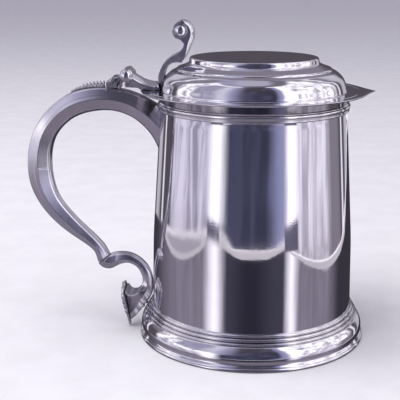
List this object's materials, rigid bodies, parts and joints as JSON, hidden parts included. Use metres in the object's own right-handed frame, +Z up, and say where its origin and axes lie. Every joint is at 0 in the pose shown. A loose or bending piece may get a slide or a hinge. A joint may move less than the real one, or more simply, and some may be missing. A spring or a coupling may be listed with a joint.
{
  "type": "lidded tankard",
  "caption": "Lidded silver tankard with a tapered drum, moulded foot, hollow scroll handle ending in a shield plate, and a stepped lid that swings on a hinge under a scroll thumbpiece.",
  "frame": {"origin": "middle of the whole tankard's bounding box, on the table plane under the foot", "axes": "+Z up along the drum's axis; +X towards the lid's pointed lip, so the handle is on -X; +Y completes a right-handed frame"},
  "size_m": [0.1914, 0.127, 0.1754],
  "materials": {
    "drum_silver": "mirror-polished silver with fine wiping scratches",
    "lid_silver": "mirror-polished silver with fine turning lines",
    "foot_silver": "polished silver, slightly worn on the high parts",
    "handle_silver": "polished silver, softer from handling",
    "wire_silver": "polished silver mouldings, darker in the grooves",
    "cast_silver": "cast and polished silver, darker in the hollows"
  },
  "bodies": {
    "vessel": {"drum": "drum_silver", "base_disc": "drum_silver", "rim_moulding": "wire_silver", "base_moulding": "wire_silver", "foot_skirt": "foot_silver", "foot_wire": "wire_silver", "handle_back": "handle_silver", "handle_front_upper": "handle_silver", "handle_front_lower": "handle_silver", "tail_back": "handle_silver", "tail_front": "handle_silver", "tail_collar_upper": "wire_silver", "tail_collar_lower": "wire_silver", "end_plate": "cast_silver", "beaded_drop": "cast_silver", "hinge_block": "cast_silver", "hinge_pin": "cast_silver", "hinge_cap_near": "cast_silver", "hinge_cap_far": "cast_silver"},
    "lid": {"lid_cap": "lid_silver", "lid_flange": "lid_silver", "lid_bezel": "lid_silver", "lid_hinge_plate": "cast_silver", "thumbpiece": "cast_silver", "thumb_boss_near": "cast_silver", "thumb_boss_far": "cast_silver"}
  },
  "joints": [
    {"name": "lid_hinge", "type": "hinge", "parent": "vessel", "child": "lid", "pos_m": [-0.0387, 0, 0.1462], "axis": [0, -1, 0], "range_deg": [0, 105]}
  ]
}
